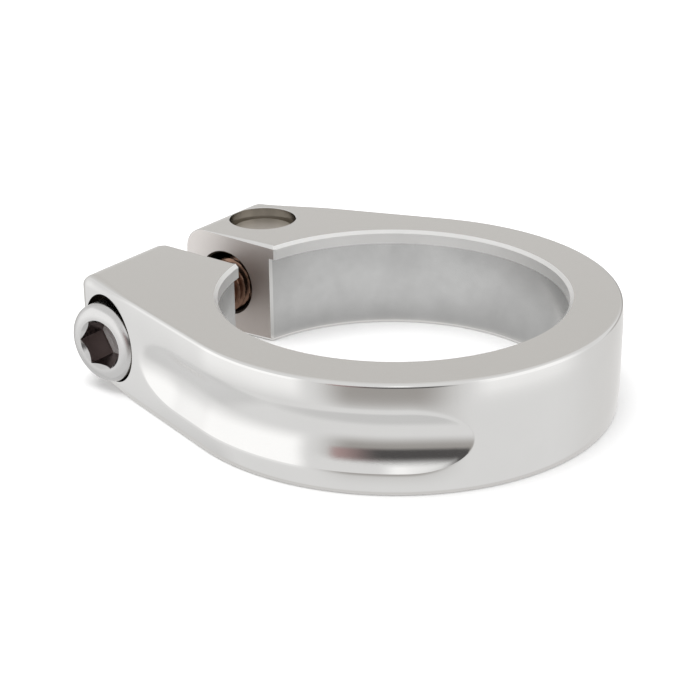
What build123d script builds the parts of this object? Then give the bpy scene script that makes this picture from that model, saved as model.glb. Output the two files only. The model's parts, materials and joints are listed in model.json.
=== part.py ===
"""One-bolt seatpost clamp for a bicycle frame.

A split aluminium collar slips over the top of the seat tube until its stop lip meets the tube's end.
A socket head bolt in one ear pulls on a barrel nut in the other ear and closes the slot.

Frame: millimetres, bore axis on +Z, underside at Z = 0, ears towards -X, bolt along Y with its head at -Y.
"""
import os
from math import cos, radians, sin

from build123d import *

# Collar ring
BORE_D = 31.8            # seat tube outside diameter
RING_WALL = 4.1          # bore to outside
RING_H = 9.75
LIP_REACH = 0.55         # how far the stop lip stands in from the bore
LIP_H = 1.3
SLOT_W = 5.3
EDGE_ROUND = 0.4         # outer rims, top and bottom
EDGE_BREAK = 0.3         # chamfer of the bore's rims
SLOT_BREAK = 0.2         # chamfer of the slot's rims

# Ears
BOLT_FROM_BORE = 5.3     # bore wall to bolt axis
EAR_PAST_BOLT = 4.95     # bolt axis to ear ends
EAR_TAPER = 18.8         # each outer face to the X axis, degrees
EAR_ROUND = 2.0          # ear ends, in plan
EAR_END_ROUND = 2.3      # ear ends, from the side

# Clamp bolt, M5 with a 4 mm hex socket
BOLT_D = 5.0
HEAD_D = 7.3
HEAD_H = 4.0
HEAD_PROUD = 1.2         # head face beyond the ear's outer face, at the bolt axis
HEAD_ROUND = 0.9
HEX_AF = 4.0             # across flats
HEX_DEPTH = 2.9
HEX_TURN = 0.0           # a socket corner's angle above +X, degrees
HEX_MOUTH = 0.3          # depth of the mouth's chamfer
FLOOR_SLOPE = 0.25       # drill point at the socket's floor, rise over radius
TIP_CHAMFER = 0.7
BOLT_PAST_NUT = 2.3      # bolt end beyond the nut's axis
BOLT_DROP = 0.25         # bolt axis below the axis of its holes

# Barrel nut
NUT_D = 6.4
NUT_FROM_SLOT = 5.95     # slot face to nut axis
NUT_RECESS = 1.0         # nut's upper end below the ear's top face
NUT_CHAMFER = 0.35
HOLE_BREAK = 0.2         # chamfer of the bolt hole in the slot

# Fits, each one a radial or axial gap
BOLT_HOLE_GAP = 0.5
HEAD_GAP = 0.35
SEAT_GAP = 0.1           # under the bolt head
NUT_GAP = 0.05
THREAD_GAP = 0.05        # bolt in the nut's cross hole

# Side grooves, milled along the outside of each half
GROOVE_R = 5.1           # radius of the hollow section
GROOVE_DEPTH = 0.7
GROOVE_DROP = 0.275      # groove's centre line below mid height
GROOVE_ON_EAR = 4.2      # full depth on the ear's flat face, from where the ring ends
GROOVE_SWEEP = 56.0      # full depth around the ring, degrees
RUNOUT_R = 18.0          # the cutter's way out at the ear
RUNOUT_LEN = 9.0

# Places that follow from the sizes above
BORE_R = BORE_D / 2
RING_R = BORE_R + RING_WALL
LIP_R = BORE_R - LIP_REACH
SLOT_Y = SLOT_W / 2
BOLT_X = -(BORE_R + BOLT_FROM_BORE)
HOLE_Z = RING_H / 2
BOLT_Z = HOLE_Z - BOLT_DROP
EAR_X = BOLT_X - EAR_PAST_BOLT
FACE_SIN = sin(radians(EAR_TAPER))
FACE_COS = cos(radians(EAR_TAPER))
TANGENT_TURN = 90 - EAR_TAPER
EAR_FACE_Y = (RING_R + BOLT_X * FACE_SIN) / FACE_COS
EAR_END_Y = (RING_R + EAR_X * FACE_SIN) / FACE_COS
HEAD_FACE_Y = EAR_FACE_Y + HEAD_PROUD
HEAD_SEAT_Y = HEAD_FACE_Y - HEAD_H
NUT_Y = SLOT_Y + NUT_FROM_SLOT
NUT_R = NUT_D / 2
NUT_HOLE_R = NUT_R + NUT_GAP
BOLT_HOLE_R = BOLT_D / 2 + BOLT_HOLE_GAP
PAST = 1.0               # how far cutters overrun open faces

STAND = (Align.CENTER, Align.CENTER, Align.MIN)


def bolt_plane(y, z=BOLT_Z):
    """Plane across the bolt axis at y, facing the way the head faces."""
    return Plane(origin=(BOLT_X, y, z), x_dir=(1, 0, 0), z_dir=(0, -1, 0))


def collar_blank():
    """Teardrop plan crossed with the rounded side view, rims rounded."""
    tangent_x, tangent_y = -RING_R * FACE_SIN, RING_R * FACE_COS
    ears = make_face(Polyline((tangent_x, tangent_y), (EAR_X, EAR_END_Y), (EAR_X, -EAR_END_Y),
                              (tangent_x, -tangent_y), close=True))
    plan = Circle(RING_R) + ears
    plan = fillet(plan.vertices().sort_by(Axis.X)[:2], EAR_ROUND)
    side = make_face(Polyline((EAR_X, 0), (RING_R + PAST, 0), (RING_R + PAST, RING_H),
                              (EAR_X, RING_H), close=True))
    side = fillet(side.vertices().sort_by(Axis.X)[:2], EAR_END_ROUND)
    side_bar = extrude(Plane.XZ * side, RING_R + PAST, both=True)
    blank = extrude(plan, RING_H)
    rims = blank.edges().group_by(Axis.Z)
    return fillet(rims[0] + rims[-1], EDGE_ROUND) & side_bar


def bore_cut():
    """Stepped bore: the tube's seat below, the lip's opening above, both rims broken."""
    seat = Cylinder(BORE_R, RING_H - LIP_H, align=STAND)
    opening = Cylinder(LIP_R, RING_H, align=STAND)
    lead_in = Cone(BORE_R + EDGE_BREAK, BORE_R, EDGE_BREAK, align=STAND)
    lip_break = Pos(0, 0, RING_H - EDGE_BREAK) * Cone(LIP_R, LIP_R + EDGE_BREAK, EDGE_BREAK, align=STAND)
    return seat + opening + lead_in + lip_break


def slot_cut():
    """The slot between the ears, from the bore out past the ear ends."""
    length = -EAR_X + PAST
    slot = Box(length, SLOT_W, RING_H, align=(Align.MAX, Align.CENTER, Align.MIN))
    flare = make_face(Polyline((SLOT_Y, SLOT_BREAK), (SLOT_Y + SLOT_BREAK, 0), (-SLOT_Y - SLOT_BREAK, 0),
                               (-SLOT_Y, SLOT_BREAK), close=True))
    lower_flare = extrude(Plane.YZ * flare, -length)
    upper_flare = mirror(lower_flare, Plane.XY.offset(RING_H / 2))
    return slot + lower_flare + upper_flare


def bolt_holes_cut():
    """Counterbore in the head's ear and one drilling that ends at the nut hole's far wall."""
    seat_y = HEAD_SEAT_Y - SEAT_GAP
    counterbore = Cylinder(HEAD_D / 2 + HEAD_GAP, HEAD_H + HEAD_PROUD + PAST, align=STAND)
    counterbore = bolt_plane(-seat_y, HOLE_Z) * counterbore
    far_wall = NUT_Y + NUT_HOLE_R
    drilling = bolt_plane(far_wall, HOLE_Z) * Cylinder(BOLT_HOLE_R, far_wall + seat_y, align=STAND)
    rim = Cone(BOLT_HOLE_R, BOLT_HOLE_R + HOLE_BREAK, HOLE_BREAK, align=STAND)
    far_rim = bolt_plane(SLOT_Y + HOLE_BREAK, HOLE_Z) * rim
    near_rim = mirror(far_rim, Plane.XZ)
    return counterbore + drilling + far_rim + near_rim


def nut_hole_cut():
    """The nut's hole, drilled down through the ear and left with crisp rims."""
    return Pos(BOLT_X, NUT_Y, 0) * Cylinder(NUT_HOLE_R, RING_H, align=STAND)


def groove_cut():
    """Round bar that follows the outside of one half: out at the ear, flat, ring, out along a tangent."""
    offset = GROOVE_R - GROOVE_DEPTH
    path_r = RING_R + offset
    start_angle = 180 + TANGENT_TURN
    ring_start = Vector(path_r * cos(radians(start_angle)), path_r * sin(radians(start_angle)))
    to_ear = Vector(-FACE_COS, FACE_SIN)
    flat_end = ring_start + to_ear * GROOVE_ON_EAR
    ear_arc = JernArc(flat_end, to_ear, RUNOUT_R, RUNOUT_LEN / radians(1) / RUNOUT_R)
    flat = Line(flat_end, ring_start)
    ring = JernArc(ring_start, -to_ear, path_r, GROOVE_SWEEP)
    tangent = Line(ring @ 1, (ring @ 1) + (ring % 1) * RUNOUT_LEN)
    path = Wire([ear_arc.edge(), flat.edge(), ring.edge(), tangent.edge()])
    section = Plane(origin=path @ 0, z_dir=path % 0) * Circle(GROOVE_R)
    return Pos(0, 0, RING_H / 2 - GROOVE_DROP) * sweep(section, path=path)


def clamp_collar():
    """The one-piece split ring with its two ears."""
    groove = groove_cut()
    body = collar_blank() - bore_cut() - slot_cut()
    body = body - groove - mirror(groove, Plane.XZ)
    return body - bolt_holes_cut() - nut_hole_cut()


def hex_socket_cut():
    """Hex socket with a chamfered mouth and a drilled floor, on the head's face."""
    corner_r = HEX_AF / 2 / cos(radians(30))
    hexagon = Rot(0, 0, HEX_TURN) * RegularPolygon(corner_r, 6)
    socket = Pos(0, 0, -HEX_DEPTH) * extrude(hexagon, HEX_DEPTH)
    mouth = Pos(0, 0, -HEX_MOUTH) * Cone(corner_r - HEX_MOUTH, corner_r, HEX_MOUTH, align=STAND)
    floor_depth = HEX_AF / 2 * FLOOR_SLOPE
    floor = Pos(0, 0, -HEX_DEPTH - floor_depth) * Cone(0, HEX_AF / 2, floor_depth, align=STAND)
    return socket + mouth + floor


def clamp_bolt():
    """Socket head bolt; the thread is left plain at its outside diameter."""
    head = Cylinder(HEAD_D / 2, HEAD_H, align=STAND)
    head = fillet(head.edges().group_by(Axis.Z)[-1], HEAD_ROUND)
    end_y = NUT_Y + BOLT_PAST_NUT
    shank = Cylinder(BOLT_D / 2, end_y + HEAD_SEAT_Y, align=STAND)
    shank = chamfer(shank.edges().group_by(Axis.Z)[0], TIP_CHAMFER)
    socket = bolt_plane(-HEAD_FACE_Y) * hex_socket_cut()
    return bolt_plane(-HEAD_SEAT_Y) * head + bolt_plane(end_y) * shank - socket


def barrel_nut():
    """Cross dowel, shorter than the ear is high, with its tapped hole left plain."""
    half_length = RING_H - NUT_RECESS - BOLT_Z
    dowel = Pos(BOLT_X, NUT_Y, BOLT_Z) * Cylinder(NUT_R, 2 * half_length)
    dowel = chamfer(dowel.edges().filter_by(GeomType.CIRCLE), NUT_CHAMFER)
    cross_hole = bolt_plane(NUT_Y + NUT_D) * Cylinder(BOLT_D / 2 + THREAD_GAP, 2 * NUT_D, align=STAND)
    return dowel - cross_hole


os.makedirs("parts", exist_ok=True)
for name, shape in (
    ("clamp_collar", clamp_collar()),
    ("clamp_bolt", clamp_bolt()),
    ("barrel_nut", barrel_nut()),
):
    export_step(shape, f"parts/{name}.step")
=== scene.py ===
import json
from math import acos, asin, atan2, cos, pi, radians, sin, sqrt, tan

import bmesh
import bpy
from mathutils import Euler, Matrix, Vector


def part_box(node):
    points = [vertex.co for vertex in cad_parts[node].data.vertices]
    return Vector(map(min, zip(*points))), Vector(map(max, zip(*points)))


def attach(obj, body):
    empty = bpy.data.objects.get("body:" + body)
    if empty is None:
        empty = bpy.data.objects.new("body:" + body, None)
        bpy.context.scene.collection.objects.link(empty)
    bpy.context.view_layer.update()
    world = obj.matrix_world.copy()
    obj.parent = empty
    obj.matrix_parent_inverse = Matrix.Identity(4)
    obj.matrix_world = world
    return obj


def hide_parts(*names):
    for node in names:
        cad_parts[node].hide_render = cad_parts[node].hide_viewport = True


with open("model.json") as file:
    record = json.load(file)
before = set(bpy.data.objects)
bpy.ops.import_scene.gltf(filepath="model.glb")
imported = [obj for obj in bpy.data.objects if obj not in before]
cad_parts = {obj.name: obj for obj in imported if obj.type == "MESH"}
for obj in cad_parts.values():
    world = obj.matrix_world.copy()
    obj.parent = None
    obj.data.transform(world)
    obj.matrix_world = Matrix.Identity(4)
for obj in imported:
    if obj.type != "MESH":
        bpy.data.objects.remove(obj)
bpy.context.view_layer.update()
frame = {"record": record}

# Looks of a one-bolt seatpost clamp: a polished split collar, a bright socket head bolt and a barrel nut.
# The frame is in metres; sizes that the frame doesn't give are written here in millimetres.
MM = 0.001

# Places and sizes that the frame gives
COLLAR_LOW, COLLAR_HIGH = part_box("clamp_collar")
BOLT_LOW, BOLT_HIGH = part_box("clamp_bolt")
NUT_LOW, NUT_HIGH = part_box("barrel_nut")
MOUNTS = {mount["name"]: mount for mount in frame["record"]["mounts"]}
EAR_X = COLLAR_LOW.x
RING_R = COLLAR_HIGH.x
RING_H = COLLAR_HIGH.z
BORE_R = MOUNTS["seat_tube_clamp"]["dims"]["r_mm"] * MM
LIP_R = MOUNTS["lip_opening"]["dims"]["r_mm"] * MM
BOLT_X = (BOLT_LOW.x + BOLT_HIGH.x) / 2
BOLT_Z = (BOLT_LOW.z + BOLT_HIGH.z) / 2
HOLE_Z = RING_H / 2
HEAD_R = (BOLT_HIGH.z - BOLT_LOW.z) / 2
HEAD_FACE_Y = BOLT_LOW.y
BOLT_TIP_Y = BOLT_HIGH.y
NUT_Y = (NUT_LOW.y + NUT_HIGH.y) / 2
NUT_R = (NUT_HIGH.x - NUT_LOW.x) / 2

# Collar
LIP_H = 1.3 * MM
SLOT_Y = 2.65 * MM
EAR_TAPER = radians(18.8)
EAR_ROUND = 2.0 * MM
END_ROUND = 2.3 * MM       # ear ends, from the side
RIM = 0.4 * MM             # rim rounding on the ring
RIM_AT_EAR = 1.1 * MM      # at the ear's end
RIM_GROWS = 7 * MM         # way over which it grows
CROWN = 0.095 * MM         # how far polishing drew the ring's outside in at its rims
CROWN_ON_EAR = 0.35        # share of it left at the ear
CROWN_H = 2.25 * MM        # height of that crown below the top, and above the underside
BORE_BREAK = 0.3 * MM
EDGE_BREAK = 0.2 * MM
HOLE_BREAK = 0.2 * MM
NUT_HOLE_BREAK = 0.05 * MM
BOLT_HOLE_R = 3.0 * MM
COUNTERBORE_R = 4.0 * MM
HEAD_H = 4.0 * MM
SEAT_GAP = 0.1 * MM
SEAT_Y = HEAD_FACE_Y + HEAD_H + SEAT_GAP
NUT_GAP = 0.05 * MM
NUT_HOLE_R = NUT_R + NUT_GAP
DRILL_END_Y = NUT_Y + NUT_HOLE_R
GROOVE_R = 5.1 * MM
GROOVE_DEPTH = 0.7 * MM
GROOVE_Z = 4.6 * MM
GROOVE_ON_EAR = 4.2 * MM
GROOVE_SWEEP = radians(56)
GROOVE_SOFT = 0.2 * MM     # polished-over upper edge of the groove
GROOVE_CRISP = 0.035 * MM  # its lower edge
GROOVE_SHARP = 0.01 * MM   # its edge at the run-out on the ring
SOFTENS_OVER = 3 * MM      # height over which the edge goes from crisp to soft
GROOVE_MIN = 0.5 * MM      # half the height that the groove's rows keep past its ends
EDGE_ROWS = 0.5 * MM       # how far the close rows reach to both sides of an edge
EDGE_SHARE = 0.8           # and at most this share of the groove's half height
RUNOUT_R = 18 * MM
OVERRUN = 1.0 * MM         # how far cutters pass open faces

# Bolt
BOLT_R = 2.5 * MM
PITCH = 0.8 * MM
THREAD_DEPTH = 0.49 * MM
HEAD_ROUND = 1.2 * MM      # seen on the head's face
HEAD_ROUND_H = 0.75 * MM   # along the bolt
HEX_AF = 4.0 * MM
HEX_CORNER_R = HEX_AF / 2 / cos(pi / 6)
HEX_DEPTH = 2.9 * MM
HEX_TURN = 0.0
HEX_MOUTH = 0.3 * MM
HEX_FLOOR = 0.5 * MM
TIP_CHAMFER = 0.7 * MM

# Nut
NUT_CHAMFER = 0.35 * MM
CROSS_HOLE_R = 2.55 * MM

# Mesh resolution
END_STEPS, CORNER_STEPS, TURN_STEPS, SPAN_STEPS, TIP_STEPS, FAR_STEPS = 20, 16, 10, 26, 36, 60
RIM_STEPS, LAND_STEPS, EDGE_STEPS, GROOVE_STEPS = 10, 6, 8, 20
LATHE_STEPS, HEAD_STEPS = 128, 16
THREAD_STEPS, THREAD_ROWS = 64, 16
BEFORE_FACE_TIP, PAST_FACE_TIP = 3 * MM, 0.5 * MM             # close columns at the groove's end on the ear
BEFORE_RING_TIP, PAST_RING_TIP = radians(4), radians(1)       # and on the ring
SHARP_ANGLE = radians(11)

# Finishes
BLOTCH = 4 * MM            # width of the blotches in the metal's colour
GRAIN_DEPTH = 0.02 * MM
HAIR = 0.01 * MM           # slack where faces are told apart by their place
POLISHED, SATIN_BORE, SLOT_FACE, NUT_HOLE, BOLT_HOLE, LIP = range(6)
HEAD, SOCKET_WALL, THREAD, SOCKET_FLOOR = range(4)

# Cards in the studio
PATCH_COLUMNS, PATCH_ROWS, DISC_STEPS = 36, 18, 48
DISC_INSET = 0.4 * MM      # from the bore's wall
WHITE_DISC_Z, GREY_DISC_Z, SLOT_CARD_Z = 0.1 * MM, 0.08 * MM, 0.05 * MM
FLOOR_HALF = 1.5           # metres

# Camera, fitted to the photograph
CAMERA_AZIMUTH = radians(35.4)
CAMERA_ELEVATION = radians(23.53)
CAMERA_ROLL = radians(-0.41)
CAMERA_DISTANCE = 147.57 * MM
TARGET_ACROSS = -3.83 * MM
TARGET_UP = 3.98 * MM
SENSOR = 36.0
FOCAL_PIXELS, PICTURE_PIXELS = 1662, 700
LENS = FOCAL_PIXELS / PICTURE_PIXELS * SENSOR

FACE_NORMAL = Vector((-sin(EAR_TAPER), -cos(EAR_TAPER)))
FACE_TOWARD_EAR = Vector((-cos(EAR_TAPER), sin(EAR_TAPER)))
TANGENT_POINT = FACE_NORMAL * RING_R
TANGENT_ANGLE = atan2(FACE_NORMAL.y, FACE_NORMAL.x) + 2 * pi
FACE_LENGTH = (-EAR_X - RING_R * sin(EAR_TAPER)) / cos(EAR_TAPER)
GROOVE_AXIS = GROOVE_R - GROOVE_DEPTH
FACE_TIP = GROOVE_ON_EAR + sqrt((RUNOUT_R + GROOVE_R) ** 2 - (RUNOUT_R + GROOVE_AXIS) ** 2)
RING_TIP = GROOVE_SWEEP + acos((RING_R + GROOVE_AXIS - GROOVE_R) / RING_R)


# Mesh helpers

def new_object(name, mesh):
    obj = bpy.data.objects.new(name, mesh)
    bpy.context.scene.collection.objects.link(obj)
    return obj


def mesh_from(name, verts, faces):
    """Mesh from points and faces, its normals made to agree and, where it is closed, to face out."""
    mesh = bpy.data.meshes.new(name)
    mesh.from_pydata([tuple(v) for v in verts], [], faces)
    shape = bmesh.new()
    shape.from_mesh(mesh)
    bmesh.ops.recalc_face_normals(shape, faces=shape.faces)
    shape.to_mesh(mesh)
    shape.free()
    return mesh


def lathe(name, profile, place, steps=LATHE_STEPS):
    """Revolves (radius, height) points about the local Z axis, closes both ends and puts it in place."""
    verts, faces = [], []
    for radius, height in profile:
        for step in range(steps):
            turn = 2 * pi * step / steps
            verts.append(place @ Vector((radius * cos(turn), radius * sin(turn), height)))
    for row in range(len(profile) - 1):
        for step in range(steps):
            a, b = row * steps + step, row * steps + (step + 1) % steps
            faces.append((a, b, b + steps, a + steps))
    last = (len(profile) - 1) * steps
    faces.append(tuple(range(steps)))
    faces.append(tuple(range(last, last + steps)))
    return new_object(name, mesh_from(name, verts, faces))


def combine(obj, tool, operation):
    """Applies one boolean to obj and removes the tool."""
    modifier = obj.modifiers.new(operation, "BOOLEAN")
    modifier.operation = operation
    modifier.solver = "EXACT"
    modifier.object = tool
    result = bpy.data.meshes.new_from_object(obj.evaluated_get(bpy.context.evaluated_depsgraph_get()))
    obj.modifiers.clear()
    obj.data = result
    bpy.data.objects.remove(tool)


def smooth(obj):
    """Smooth shading with crisp corners, and flat faces kept flat."""
    obj.data.shade_smooth()
    obj.data.set_sharp_from_angle(angle=SHARP_ANGLE)
    modifier = obj.modifiers.new("weighted", "WEIGHTED_NORMAL")
    modifier.keep_sharp = True


def arc(start, end, steps):
    """Evenly spaced values from start to end, both included."""
    return [start + (end - start) * step / steps for step in range(steps + 1)]


def spans(ends, steps):
    """Values through all the ends in turn, each span with its own number of steps."""
    values = [ends[0]]
    for start, end, count in zip(ends, ends[1:], steps):
        values += arc(start, end, count)[1:]
    return values


def mix(a, b, share):
    return a + (b - a) * share


def along_bolt(y, z=BOLT_Z):
    """Frame across the bolt's way at y whose Z points the way the head faces."""
    return Matrix.Translation((BOLT_X, y, z)) @ Euler((pi / 2, 0, 0)).to_matrix().to_4x4()


# Collar

def groove_reach(along_face, past_tangent):
    """Chord of the groove's section that still meets the surface; at GROOVE_R the groove has run out."""
    beyond_face = along_face - GROOVE_ON_EAR
    beyond_ring = past_tangent - GROOVE_SWEEP
    if beyond_face > 0:
        return sqrt((RUNOUT_R + GROOVE_AXIS) ** 2 + beyond_face ** 2) - RUNOUT_R
    if beyond_ring > 0:
        return RING_R + GROOVE_AXIS - RING_R * cos(min(beyond_ring, pi / 2))
    return GROOVE_AXIS


def groove_half_height(along_face, past_tangent):
    reach = min(groove_reach(along_face, past_tangent), GROOVE_R)
    return sqrt(GROOVE_R * GROOVE_R - reach * reach)


def groove_depth(along_face, past_tangent, z):
    """Depth of the side groove, on the ear's face or past the tangent point on the ring, with soft edges."""
    beyond_face = along_face - GROOVE_ON_EAR
    beyond_ring = past_tangent - GROOVE_SWEEP
    if beyond_face > RUNOUT_R:
        return 0.0
    half_chord = sqrt(GROOVE_R * GROOVE_R - (z - GROOVE_Z) ** 2)
    soft = mix(GROOVE_CRISP, GROOVE_SOFT, min(max(0.5 + (z - GROOVE_Z) / SOFTENS_OVER, 0), 1))
    depth = half_chord - GROOVE_AXIS
    if beyond_face > 0:
        depth = sqrt((RUNOUT_R + half_chord) ** 2 - beyond_face ** 2) - GROOVE_AXIS - RUNOUT_R
    if beyond_ring > 0:
        depth = (half_chord - groove_reach(along_face, past_tangent)) / cos(beyond_ring)
        soft = mix(soft, GROOVE_SHARP, min(beyond_ring / (RING_TIP - GROOVE_SWEEP), 1))
    return (depth + sqrt(depth * depth + soft * soft)) / 2


def crown_depth(z):
    """How far the outside is drawn in towards its rims, none at mid height."""
    past = abs(z - RING_H / 2) - (RING_H / 2 - CROWN_H)
    return CROWN * min(max(past / (CROWN_H - RIM), 0), 1) ** 2


def outer_stations():
    """Plan outline of the front half, ear end to the far side of the ring.

    Each station is (point, normal, rim point, share of the crown, way along the ear's face, angle past
    the tangent point); the rim point is where its column reaches the top face."""
    tangent_length = EAR_ROUND * tan((pi / 2 - EAR_TAPER) / 2)
    corner = TANGENT_POINT + FACE_TOWARD_EAR * FACE_LENGTH
    centre = corner + Vector((EAR_ROUND, tangent_length))
    face_end = FACE_LENGTH - tangent_length
    turn_end = FACE_LENGTH - END_ROUND / cos(EAR_TAPER)
    top_x = EAR_X + END_ROUND
    top_end = TANGENT_POINT + FACE_TOWARD_EAR * turn_end - FACE_NORMAL * RIM_AT_EAR
    far = 1.0  # a way and an angle well clear of the groove
    stations = []
    for y in arc(-SLOT_Y - EDGE_BREAK, centre.y, END_STEPS)[:-1]:
        stations.append((Vector((EAR_X, y)), Vector((-1, 0)), Vector((top_x, y)), 0.0, far, -far))
    turned = []
    for turn in arc(pi, TANGENT_ANGLE, CORNER_STEPS)[:-1]:
        normal = Vector((cos(turn), sin(turn)))
        turned.append((centre + normal * EAR_ROUND, normal, far, -far))
    for way in arc(face_end, turn_end, TURN_STEPS)[:-1]:
        turned.append((TANGENT_POINT + FACE_TOWARD_EAR * way, FACE_NORMAL, way, 0.0))
    for step, (point, normal, *ways) in enumerate(turned):
        share = step / len(turned)
        rim_point = Vector((top_x, centre.y)).lerp(top_end, share)
        stations.append((point, normal, rim_point, share * CROWN_ON_EAR, *ways))
    near_tip = (FACE_TIP + PAST_FACE_TIP, FACE_TIP - BEFORE_FACE_TIP)
    for way in spans((turn_end, *near_tip, 0), (SPAN_STEPS, TIP_STEPS, SPAN_STEPS))[:-1]:
        point = TANGENT_POINT + FACE_TOWARD_EAR * way
        crown = mix(1, CROWN_ON_EAR, way / turn_end)
        stations.append((point, FACE_NORMAL, point - FACE_NORMAL * rim_radius(point.x), crown, way, 0.0))
    near_tip = (RING_TIP - BEFORE_RING_TIP, RING_TIP + PAST_RING_TIP)
    for past in spans((0, *near_tip, 2 * pi - TANGENT_ANGLE), (FAR_STEPS, TIP_STEPS, SPAN_STEPS)):
        normal = Vector((cos(TANGENT_ANGLE + past), sin(TANGENT_ANGLE + past)))
        stations.append((normal * RING_R, normal, normal * (RING_R - RIM), 1.0, 0.0, past))
    return stations


def quarter_drop(inset, radius):
    """How far a quarter round lies below its flat, at an inset from its outer edge."""
    short = max(radius - inset, 0)
    return radius - sqrt(max(radius * radius - short * short, 0))


def rim_radius(x):
    """Rim rounding along the outside, larger towards the ear's end."""
    share = min(max((x - EAR_X - END_ROUND) / RIM_GROWS, 0), 1)
    return mix(RIM_AT_EAR, RIM, share * share * (3 - 2 * share))


def rim_drop(point, inset):
    """Drop below the top face: the rim's rounding and the ear end's, run softly into each other."""
    rim, end = quarter_drop(inset, rim_radius(point.x)), quarter_drop(point.x - EAR_X, END_ROUND)
    power = 3
    return (rim ** power + end ** power) ** (1 / power)


def wall_heights(low, along_face, past_tangent):
    """Heights of a column's wall rows, close together along the groove's two edges."""
    half_height = max(groove_half_height(along_face, past_tangent), GROOVE_MIN)
    close = min(EDGE_ROWS, EDGE_SHARE * half_height)
    lower, upper = GROOVE_Z - half_height, GROOVE_Z + half_height
    knots = (low, lower - close, lower + close, upper - close, upper + close, RING_H - low)
    return spans(knots, (LAND_STEPS, EDGE_STEPS, GROOVE_STEPS, EDGE_STEPS, LAND_STEPS))


def outer_column(point, normal, rim_point, crown, along_face, past_tangent):
    """One column of points on the outside, from the underside up to the top face."""
    rim = []
    for turn in arc(0, pi / 2, RIM_STEPS):
        at = point.lerp(rim_point, 1 - cos(turn))
        drop = rim_drop(at, (point - at).dot(normal)) if turn < pi / 2 else 0.0
        rim.append((at - normal * CROWN * crown, drop))
    column = [Vector((at.x, at.y, drop)) for at, drop in reversed(rim)]
    for z in wall_heights(rim[0][1], along_face, past_tangent)[1:-1]:
        at = point - normal * (groove_depth(along_face, past_tangent, z) + crown_depth(z) * crown)
        column.append(Vector((at.x, at.y, z)))
    return column + [Vector((at.x, at.y, RING_H - drop)) for at, drop in rim]


def bore_profile():
    """(radius, z) up the bore, over the lip and out at the top, with as many points as an outer column."""
    lip_z = RING_H - LIP_H
    wall_points = 2 * (RIM_STEPS + LAND_STEPS + EDGE_STEPS) + GROOVE_STEPS - 4
    wall = [(BORE_R, z) for z in arc(BORE_BREAK, lip_z, wall_points)]
    lip = [(LIP_R, lip_z), (LIP_R, RING_H - BORE_BREAK), (LIP_R + BORE_BREAK, RING_H)]
    return [(BORE_R + BORE_BREAK, 0.0)] + wall + lip


def slot_columns(end_column, count):
    """Columns on the slot's front face, from the ear's end to the bore's corner."""
    columns = []
    for share in arc(0, 1, count - 1):
        column = []
        for at, (radius, bore_z) in zip(end_column, bore_profile()):
            bore_x = -sqrt(radius * radius - SLOT_Y * SLOT_Y) - EDGE_BREAK
            column.append(Vector((mix(at.x + EDGE_BREAK, bore_x, share), -SLOT_Y, mix(at.z, bore_z, share))))
        column[0].y -= column[1].z - column[0].z
        column[-1].y -= column[-1].z - column[-2].z
        columns.append(column)
    return columns


def bore_columns(count):
    """Columns in the bore, from the slot's corner round to the far side."""
    columns = []
    for step in range(count):
        column = []
        for radius, z in bore_profile():
            corner = pi + asin((SLOT_Y + EDGE_BREAK) / radius)
            turn = mix(corner, 2 * pi, step / (count - 1))
            column.append(Vector((radius * cos(turn), radius * sin(turn), z)))
        columns.append(column)
    return columns


def mirrored(columns):
    """The back half's columns, in order from the far side of the ring to the ear's end."""
    return [[Vector((p.x, -p.y, p.z)) for p in column] for column in reversed(columns[:-1])]


def strip(a, b, rows):
    """Quads between two columns of point numbers."""
    return [(a + row, b + row, b + row + 1, a + row + 1) for row in range(rows - 1)]


def collar_blank():
    """The split ring with lip, slot and side grooves, before its holes."""
    stations = outer_stations()
    outside = [outer_column(*station) for station in stations]
    inside = slot_columns(outside[0], END_STEPS) + bore_columns(len(stations) - END_STEPS)
    outside += mirrored(outside)
    inside += mirrored(inside)
    rows, count = len(outside[0]), len(outside)
    verts = [p for column in outside + inside for p in column]
    faces = []
    for k in range(count - 1):
        a, b = k * rows, (k + 1) * rows
        c, d = (count + k) * rows, (count + k + 1) * rows
        faces += strip(a, b, rows) + strip(d, c, rows)
        faces.append((a + rows - 1, b + rows - 1, d + rows - 1, c + rows - 1))
        faces.append((b, a, c, d))
    first, last = 0, (count - 1) * rows
    faces += strip(count * rows, first, rows) + strip(last, count * rows + last, rows)
    return new_object("collar", mesh_from("collar", verts, faces))


def bolt_hole_cutter():
    """Counterbore and drilling in one, flared in the slot to break the rims there."""
    flare = SLOT_Y + HOLE_BREAK
    counterbore = ((HEAD_FACE_Y - OVERRUN, COUNTERBORE_R), (SEAT_Y, COUNTERBORE_R))
    drilling = ((SEAT_Y, BOLT_HOLE_R), (-flare, BOLT_HOLE_R), (0, BOLT_HOLE_R + flare),
                (flare, BOLT_HOLE_R), (DRILL_END_Y, BOLT_HOLE_R))
    return lathe("bolt_hole", [(radius, -y) for y, radius in counterbore + drilling], along_bolt(0, HOLE_Z))


def nut_hole_cutter():
    """Nut hole, flared at both ends to break its rims."""
    rim, flare = NUT_HOLE_BREAK, NUT_HOLE_BREAK + OVERRUN
    profile = ((NUT_HOLE_R + flare, -OVERRUN), (NUT_HOLE_R, rim), (NUT_HOLE_R, RING_H - rim),
               (NUT_HOLE_R + flare, RING_H + OVERRUN))
    return lathe("nut_hole", profile, Matrix.Translation((BOLT_X, NUT_Y, 0)))


def build_collar():
    collar = collar_blank()
    combine(collar, bolt_hole_cutter(), "DIFFERENCE")
    combine(collar, nut_hole_cutter(), "DIFFERENCE")
    smooth(collar)
    return collar


# Bolt

def thread_profile(phase):
    """Share of the thread's depth at a phase of one pitch: flat crest, straight flanks, wider root."""
    crest, root = 0.0625, 0.375
    way = abs(phase - 0.5) * 2
    return min(max((way - 2 * crest) / (2 * (root - crest)), 0), 1)


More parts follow.
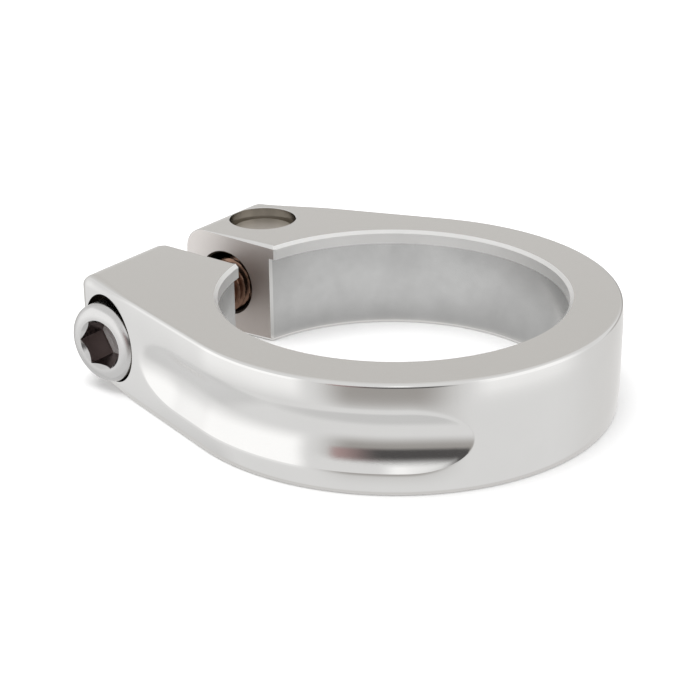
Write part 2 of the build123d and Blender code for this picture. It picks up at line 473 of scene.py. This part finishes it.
def threaded_shank():
    """Closed shank with a right-hand helix, from the tip to just inside the head."""
    start = BOLT_TIP_Y
    end = HEAD_FACE_Y + HEAD_H - OVERRUN
    rows = round((start - end) / PITCH * THREAD_ROWS)
    verts, faces = [], []
    for row in range(rows + 1):
        y = mix(start, end, row / rows)
        chamfered = BOLT_R - TIP_CHAMFER + (start - y)
        for step in range(THREAD_STEPS):
            turn = 2 * pi * step / THREAD_STEPS
            phase = ((start - y) / PITCH + step / THREAD_STEPS) % 1
            radius = min(BOLT_R - THREAD_DEPTH * thread_profile(phase), chamfered)
            verts.append((BOLT_X + radius * cos(turn), y, BOLT_Z + radius * sin(turn)))
    for row in range(rows):
        for step in range(THREAD_STEPS):
            a, b = row * THREAD_STEPS + step, row * THREAD_STEPS + (step + 1) % THREAD_STEPS
            faces.append((a, b, b + THREAD_STEPS, a + THREAD_STEPS))
    last = rows * THREAD_STEPS
    faces.append(tuple(range(THREAD_STEPS)))
    faces.append(tuple(range(last, last + THREAD_STEPS)))
    return new_object("shank", mesh_from("shank", verts, faces))


def hex_cutter(face):
    """Six-sided socket with a six-sided point as its floor, a little past the head's face."""
    verts = [face @ Vector((0, 0, -HEX_DEPTH - HEX_FLOOR))]
    for height in (-HEX_DEPTH, OVERRUN):
        for corner in range(6):
            turn = HEX_TURN + corner * pi / 3
            verts.append(face @ Vector((HEX_CORNER_R * cos(turn), HEX_CORNER_R * sin(turn), height)))
    faces = [tuple(range(7, 13))]
    for corner in range(6):
        low, after = 1 + corner, 1 + (corner + 1) % 6
        faces += [(0, after, low), (low, after, after + 6, low + 6)]
    return new_object("hex", mesh_from("hex", verts, faces))


def build_bolt():
    face = along_bolt(HEAD_FACE_Y)
    rim = [(HEAD_R - HEAD_ROUND * (1 - cos(turn)), -HEAD_ROUND_H * (1 - sin(turn)))
           for turn in arc(0, pi / 2, HEAD_STEPS)]
    bolt = lathe("bolt", [(HEAD_R, -HEAD_H)] + rim, face)
    combine(bolt, hex_cutter(face), "DIFFERENCE")
    mouth = ((HEX_CORNER_R - HEX_MOUTH, -HEX_MOUTH), (HEX_CORNER_R + OVERRUN, OVERRUN))
    combine(bolt, lathe("mouth", mouth, face), "DIFFERENCE")
    combine(bolt, threaded_shank(), "UNION")
    smooth(bolt)
    return bolt


# Nut

def build_nut():
    low, high = NUT_LOW.z, NUT_HIGH.z
    profile = ((NUT_R - NUT_CHAMFER, low), (NUT_R, low + NUT_CHAMFER), (NUT_R, high - NUT_CHAMFER),
               (NUT_R - NUT_CHAMFER, high))
    nut = lathe("nut", profile, Matrix.Translation((BOLT_X, NUT_Y, 0)))
    hole = ((CROSS_HOLE_R, -NUT_R - OVERRUN), (CROSS_HOLE_R, NUT_R + OVERRUN))
    combine(nut, lathe("cross_hole", hole, along_bolt(NUT_Y)), "DIFFERENCE")
    smooth(nut)
    return nut


# Materials

def add_node(material, kind, **values):
    """Adds one node and sets the named input values."""
    node = material.node_tree.nodes.new(kind)
    for name, value in values.items():
        node.inputs[name.replace("_", " ")].default_value = value
    return node


def metal(name, color, roughness, grain, spread, bump, blotch=0.03):
    """Bare metal with faint blotches of colour, and a fine grain (millimetres across) in its surface.

    The grain spreads the roughness to both sides and raises the surface by its bump."""
    material = bpy.data.materials.new(name)
    material.use_nodes = True
    link = material.node_tree.links.new
    shader = material.node_tree.nodes["Principled BSDF"]
    shader.inputs["Metallic"].default_value = 1
    place = add_node(material, "ShaderNodeTexCoord")
    blotches = add_node(material, "ShaderNodeTexNoise", Scale=1 / BLOTCH, Detail=5.0)
    link(place.outputs["Object"], blotches.inputs["Vector"])
    tint = add_node(material, "ShaderNodeValToRGB")
    for stop, where, share in zip(tint.color_ramp.elements, (0.3, 0.7), (1 - blotch, 1 + blotch)):
        stop.position = where
        stop.color = (*(share * part for part in color), 1)
    link(blotches.outputs["Fac"], tint.inputs["Fac"])
    link(tint.outputs["Color"], shader.inputs["Base Color"])
    noise = add_node(material, "ShaderNodeTexNoise", Scale=1 / (grain * MM), Detail=4.0)
    link(place.outputs["Object"], noise.inputs["Vector"])
    level = add_node(material, "ShaderNodeMapRange", To_Min=roughness - spread, To_Max=roughness + spread)
    link(noise.outputs["Fac"], level.inputs["Value"])
    link(level.outputs["Result"], shader.inputs["Roughness"])
    relief = add_node(material, "ShaderNodeBump", Strength=bump, Distance=GRAIN_DEPTH)
    link(noise.outputs["Fac"], relief.inputs["Height"])
    link(relief.outputs["Normal"], shader.inputs["Normal"])
    return material


def shade_and_dull_face_ends(material, color, dullness):
    """Paints shade on what faces up or down, as a darker colour, and gives it some more roughness for a
    duller finish, both run softly into the rims.
    """
    nodes, link = material.node_tree.nodes, material.node_tree.links.new
    shader = nodes["Principled BSDF"]
    parts = add_node(material, "ShaderNodeSeparateXYZ")
    link(add_node(material, "ShaderNodeTexCoord").outputs["Normal"], parts.inputs["Vector"])
    upright = add_node(material, "ShaderNodeMath")
    upright.operation = "ABSOLUTE"
    link(parts.outputs["Z"], upright.inputs[0])
    ends = add_node(material, "ShaderNodeMapRange", From_Min=0.7, From_Max=1.0)
    ends.interpolation_type = "SMOOTHSTEP"
    link(upright.outputs["Value"], ends.inputs["Value"])
    tint = add_node(material, "ShaderNodeMixRGB", Color2=(*color, 1))
    link(ends.outputs["Result"], tint.inputs["Fac"])
    link(shader.inputs["Base Color"].links[0].from_socket, tint.inputs["Color1"])
    link(tint.outputs["Color"], shader.inputs["Base Color"])
    dull = add_node(material, "ShaderNodeMath")
    dull.operation = "MULTIPLY_ADD"
    link(ends.outputs["Result"], dull.inputs[0])
    dull.inputs[1].default_value = dullness
    link(shader.inputs["Roughness"].links[0].from_socket, dull.inputs[2])
    link(dull.outputs["Value"], shader.inputs["Roughness"])
    return material


def dress(obj, materials, choose):
    """Gives obj its materials and each face the one that choose(centre, normal) numbers."""
    for material in materials:
        obj.data.materials.append(material)
    for face in obj.data.polygons:
        face.material_index = choose(face.center, face.normal)


def collar_finish(centre, normal):
    """Which of the collar's finishes a face has; the bolt hole's is painted shade, and the nut hole's is
    partly painted shade.
    """
    off_bolt = sqrt((centre.x - BOLT_X) ** 2 + (centre.z - HOLE_Z) ** 2)
    off_nut = sqrt((centre.x - BOLT_X) ** 2 + (centre.y - NUT_Y) ** 2)
    off_bore = sqrt(centre.x ** 2 + centre.y ** 2)
    if abs(centre.y) < SLOT_Y + HAIR and centre.x < 0:
        return SLOT_FACE
    upright = abs(normal.z) < 0.5
    if off_nut < NUT_HOLE_R + HAIR and upright:
        return NUT_HOLE
    across_bolt = abs(normal.y) > 0.8
    if off_bolt < COUNTERBORE_R + HAIR and centre.y < DRILL_END_Y + HAIR:
        if centre.y > SEAT_Y - HAIR or not across_bolt:
            return BOLT_HOLE
    upright_or_sloped = abs(normal.z) < 0.8
    if off_bore < BORE_R + HAIR and upright_or_sloped:
        return LIP if off_bore < LIP_R + BORE_BREAK else SATIN_BORE
    return POLISHED


def bolt_finish(centre, normal):
    """Which of the bolt's finishes a face has, by its place alone; the socket's walls get painted shade and
    its floor painted light.
    """
    off_axis = sqrt((centre.x - BOLT_X) ** 2 + (centre.z - BOLT_Z) ** 2)
    if centre.y > HEAD_FACE_Y + HEAD_H - HAIR:
        return THREAD
    in_mouth = centre.y < HEAD_FACE_Y + 0.6 * HEX_MOUTH
    if off_axis > HEX_CORNER_R + HAIR or in_mouth:
        return HEAD
    return SOCKET_FLOOR if centre.y > HEAD_FACE_Y + HEX_DEPTH - HAIR else SOCKET_WALL


def dress_pieces(collar, bolt, nut):
    """Each piece's metals, in the order of its finishes."""
    polished = metal("polished_aluminium", (0.66, 0.655, 0.645), 0.10, 0.6, 0.02, 0.02, 0.01)
    # Faces of the polished collar that point up or down get painted shade, a darker colour, and a duller
    # finish.
    dress(collar, (shade_and_dull_face_ends(polished, (0.558, 0.543, 0.522), 0.15),
                   metal("satin_aluminium", (0.545, 0.545, 0.54), 0.24, 0.9, 0.05, 0.2, 0.07),
                   metal("slot_aluminium", (0.66, 0.63, 0.61), 0.5, 0.6, 0.03, 0.02),
                   # Reamed finish on the nut hole's wall, with its colour darkened as painted shade inside
                   # the hole.
                   metal("reamed_and_shaded_aluminium", (0.42, 0.40, 0.36), 0.2, 0.5, 0.05, 0.1),
                   # Painted shade: the bolt hole's walls and seat, dark in the way a deep narrow gap looks.
                   metal("bolt_hole_shade_aluminium", (0.09, 0.075, 0.06), 0.4, 0.4, 0.05, 0.2),
                   metal("lip_aluminium", (0.76, 0.755, 0.745), 0.42, 0.6, 0.04, 0.05)), collar_finish)
    dress(bolt, (metal("bright_steel", (0.54, 0.535, 0.53), 0.22, 0.3, 0.04, 0.08),
                 # Painted shade on the socket's walls, dark in the way the deep socket looks.
                 metal("socket_painted_shade_steel", (0.155, 0.122, 0.118), 0.22, 0.3, 0.05, 0.1),
                 metal("thread_steel", (0.235, 0.145, 0.105), 0.25, 0.3, 0.05, 0.1),
                 # Painted light on the socket's floor, light in the way light reaching into the socket makes
                 # it look.
                 metal("socket_floor_painted_light", (0.92, 0.90, 0.89), 0.65, 0.3, 0.05, 0.1)), bolt_finish)
    turned = metal("turned_steel", (0.40, 0.365, 0.325), 0.35, 0.3, 0.05, 0.1)
    dress(nut, (turned,), lambda centre, normal: 0)


# Studio

def in_view(across, away, up):
    """Point given as seen from the camera: to the right, away from it and up, in millimetres."""
    return Matrix.Rotation(CAMERA_AZIMUTH, 4, "Z") @ (Vector((across, away, up)) * MM)


def add_floor():
    half = FLOOR_HALF
    corners = [(-half, -half, 0), (half, -half, 0), (half, half, 0), (-half, half, 0)]
    floor = new_object("floor", mesh_from("floor", corners, [(0, 1, 2, 3)]))
    material = bpy.data.materials.new("floor_white")
    material.use_nodes = True
    shader = material.node_tree.nodes["Principled BSDF"]
    shader.inputs["Base Color"].default_value = (0.95, 0.95, 0.95, 1)
    shader.inputs["Roughness"].default_value = 0.9
    shader.inputs["Specular IOR Level"].default_value = 0.0
    floor.data.materials.append(material)
    floor.visible_glossy = False


def seen_by_metal_only(card, material):
    card.data.materials.append(material)
    card.visible_camera = card.visible_diffuse = card.visible_shadow = False


def glow(name, color, strength):
    """Material of a card, with its emission and its output, so that soft edges can go between them."""
    material = bpy.data.materials.new(name)
    material.use_nodes = True
    material.node_tree.nodes.clear()
    light = add_node(material, "ShaderNodeEmission", Color=(*color, 1), Strength=strength)
    end = add_node(material, "ShaderNodeOutputMaterial")
    material.node_tree.links.new(light.outputs["Emission"], end.inputs["Surface"])
    return material, light, end


def fade_edges(material, light, end, edges):
    """Fades a card out: each edge is (X or Y for U or V, where it is gone, where it is full)."""
    link = material.node_tree.links.new
    place = add_node(material, "ShaderNodeTexCoord")
    parts = add_node(material, "ShaderNodeSeparateXYZ")
    link(place.outputs["UV"], parts.inputs["Vector"])
    cover = None
    for axis, gone, full in edges:
        edge = add_node(material, "ShaderNodeMapRange", From_Min=gone, From_Max=full)
        edge.interpolation_type = "SMOOTHSTEP"
        link(parts.outputs[axis], edge.inputs["Value"])
        if cover is None:
            cover = edge.outputs["Result"]
            continue
        both = add_node(material, "ShaderNodeMath")
        both.operation = "MULTIPLY"
        link(cover, both.inputs[0])
        link(edge.outputs["Result"], both.inputs[1])
        cover = both.outputs["Value"]
    mixed = add_node(material, "ShaderNodeMixShader")
    link(cover, mixed.inputs["Fac"])
    link(add_node(material, "ShaderNodeBsdfTransparent").outputs["BSDF"], mixed.inputs[1])
    link(light.outputs["Emission"], mixed.inputs[2])
    link(mixed.outputs["Shader"], end.inputs["Surface"])


def add_soft_card(name, verts, places, faces, edges, color, strength=1.0):
    """Card whose edges fade out, by the places (U, V) of its points."""
    card = new_object(name, mesh_from(name, verts, faces))
    uv = card.data.uv_layers.new(name="place")
    for loop in card.data.loops:
        uv.data[loop.index].uv = places[loop.vertex_index]
    material, light, end = glow(name, color, strength)
    fade_edges(material, light, end, edges)
    seen_by_metal_only(card, material)


def add_patch(name, away, azimuths, elevations, color, strength=1.0):
    """Part of the room that polished metal sees, on a sphere of radius away (millimetres).

    Azimuths run (gone, full, full, gone) to the right from the camera's side, and elevations upwards."""
    columns = arc(azimuths[0], azimuths[-1], PATCH_COLUMNS)
    rows = arc(elevations[0], elevations[-1], PATCH_ROWS)
    verts, places, faces = [], [], []
    for azimuth in columns:
        for elevation in rows:
            across, up = radians(azimuth), radians(elevation)
            right, back = away * sin(across) * cos(up), away * cos(across) * cos(up)
            verts.append(in_view(right, -back, away * sin(up)))
            places.append((azimuth, elevation))
    for k in range(len(columns) - 1):
        faces += strip(k * len(rows), (k + 1) * len(rows), len(rows))
    edges = [("X", *azimuths[:2]), ("X", *azimuths[:1:-1])]
    edges += [("Y", *elevations[:2]), ("Y", *elevations[:1:-1])]
    add_soft_card(name, verts, places, faces, edges, color, strength)


def add_disc(name, radius, z, full, color):
    """Round card on the floor inside the bore, fading out from a share of its radius."""
    turns = arc(0, 2 * pi, DISC_STEPS)[:-1]
    rim = [Vector((radius * cos(turn), radius * sin(turn), z)) for turn in turns]
    faces = [(0, 1 + k, 1 + (k + 1) % len(rim)) for k in range(len(rim))]
    places = [(0.0, 0.0)] + [(1.0, 0.0)] * len(rim)
    add_soft_card(name, [Vector((0, 0, z))] + rim, places, faces, [("X", 1.0, full)], color)


def add_flat_card(name, points, color, strength=1.0):
    """Card with one outline and crisp edges."""
    card = new_object(name, mesh_from(name, points, [tuple(range(len(points)))]))
    seen_by_metal_only(card, glow(name, color, strength)[0])


def add_cards():
    """What the metal sees of the room.

    The floor is as white as the world, so reflections leave it out and show these cards before the world;
    the cards straight below, in the bore, under the slot and under the collar are painted shade in place of
    the floor's shadow."""
    add_patch("dark_front", 300, (-32, -6, 14, 30), (-13, -6, 3, 18), (0.11, 0.105, 0.105))
    add_patch("red_front", 310, (-33, -27, -18, 0), (-12, -5, 3, 15), (0.57, 0.41, 0.40))
    add_patch("brown_front", 320, (-42, -20, 8, 37), (-36, -14, 0, 15), (0.49, 0.47, 0.45))
    add_patch("bright_front", 330, (-9, 1, 4, 9), (14, 21, 34, 44), (1, 1, 1), 1.38)
    add_patch("bright_left", 340, (-118, -98, -50, -40), (-31, -5, 20, 30), (1, 1, 1), 1.47)
    add_patch("grey_left", 345, (-150, -125, -104, -85), (-64, -48, -32, -22), (0.86, 0.86, 0.86))
    add_patch("bright_right", 350, (32, 46, 80, 104), (-24, -8, 30, 44), (1, 1, 1), 1.4)
    add_patch("grey_right", 360, (80, 140, 170, 200), (-60, -40, -20, 4), (0.87, 0.86, 0.85))
    # Painted shade: the floor's shadow straight below the collar, as the metal sees it.
    add_patch("shade_below", 370, (-190, -180, 180, 190), (-90, -89, -62, -50), (0.82, 0.82, 0.82))
    add_patch("dark_behind", 375, (140, 156, 176, 187), (-16, -9, 0, 9), (0.16, 0.155, 0.15))
    add_patch("grey_at_ears", 376, (196, 212, 232, 239), (-50, -36, -10, 8), (0.72, 0.71, 0.70))
    add_patch("brown_behind", 378, (112, 130, 150, 172), (-16, -9, 0, 9), (0.5, 0.48, 0.46))
    add_patch("grey_behind", 380, (128, 150, 226, 240), (-62, -42, 40, 64), (0.88, 0.875, 0.865))
    disc_r = BORE_R - DISC_INSET
    add_disc("white_in_bore", disc_r, WHITE_DISC_Z, 0.4, (0.95, 0.95, 0.95))
    # Painted shade: the floor inside the bore, darker towards the bore's wall.
    add_disc("shade_in_bore", disc_r, GREY_DISC_Z, 0.95, (0.64, 0.64, 0.635))
    # Painted shadow on the floor under the slot.
    slot_plan = ((EAR_X, -SLOT_Y), (-LIP_R, -SLOT_Y), (-LIP_R, SLOT_Y), (EAR_X, SLOT_Y))
    add_flat_card("shadow_in_slot", [Vector((x, y, SLOT_CARD_Z)) for x, y in slot_plan], (0.56, 0.53, 0.51))
    # Painted contact shadow: a card under the collar's outline.
    outline = [station[0] + station[1] * RIM for station in outer_stations()]
    outline += [Vector((point.x, -point.y)) for point in reversed(outline[:-1])]
    add_flat_card("contact", [point.to_3d() for point in outline], (0.86, 0.85, 0.84))


def add_lights():
    """Soft overhead light for the contact shadow."""
    data = bpy.data.lights.new("overhead", "AREA")
    data.shape = "DISK"
    data.size = 0.5
    data.energy = 2.0
    light = bpy.data.objects.new("overhead", data)
    light.location = in_view(-120, -50, 600)
    light.rotation_mode = "QUATERNION"
    light.rotation_quaternion = (-light.location).to_track_quat("-Z", "Y")
    light.visible_glossy = False
    bpy.context.scene.collection.objects.link(light)


def add_world():
    world = bpy.data.worlds.new("studio")
    world.use_nodes = True
    background = world.node_tree.nodes["Background"]
    background.inputs["Color"].default_value = (1, 1, 1, 1)
    background.inputs["Strength"].default_value = 1.0
    bpy.context.scene.world = world


def add_camera():
    turn = Matrix.Rotation(CAMERA_AZIMUTH, 4, "Z")
    target = turn @ Vector((TARGET_ACROSS, 0, TARGET_UP))
    back = turn @ Vector((0, -cos(CAMERA_ELEVATION), sin(CAMERA_ELEVATION)))
    data = bpy.data.cameras.new("camera")
    data.sensor_width = SENSOR
    data.lens = LENS
    data.clip_start = 1 * MM
    camera = bpy.data.objects.new("camera", data)
    bpy.context.scene.collection.objects.link(camera)
    upright = (-back).to_track_quat("-Z", "Y").to_matrix().to_4x4()
    rolled = upright @ Matrix.Rotation(CAMERA_ROLL, 4, "Z")
    camera.matrix_world = Matrix.Translation(target + back * CAMERA_DISTANCE) @ rolled
    bpy.context.scene.camera = camera


collar, bolt, nut = build_collar(), build_bolt(), build_nut()
dress_pieces(collar, bolt, nut)
for piece, node, body, slot in ((collar, "clamp_collar", "collar", "collar_aluminium"),
                                (bolt, "clamp_bolt", "bolt", "bolt_steel"),
                                (nut, "barrel_nut", "nut", "nut_steel")):
    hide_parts(node)
    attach(piece, body)

add_floor()
add_cards()
add_lights()
add_world()
add_camera()
bpy.context.scene.view_settings.view_transform = "Standard"
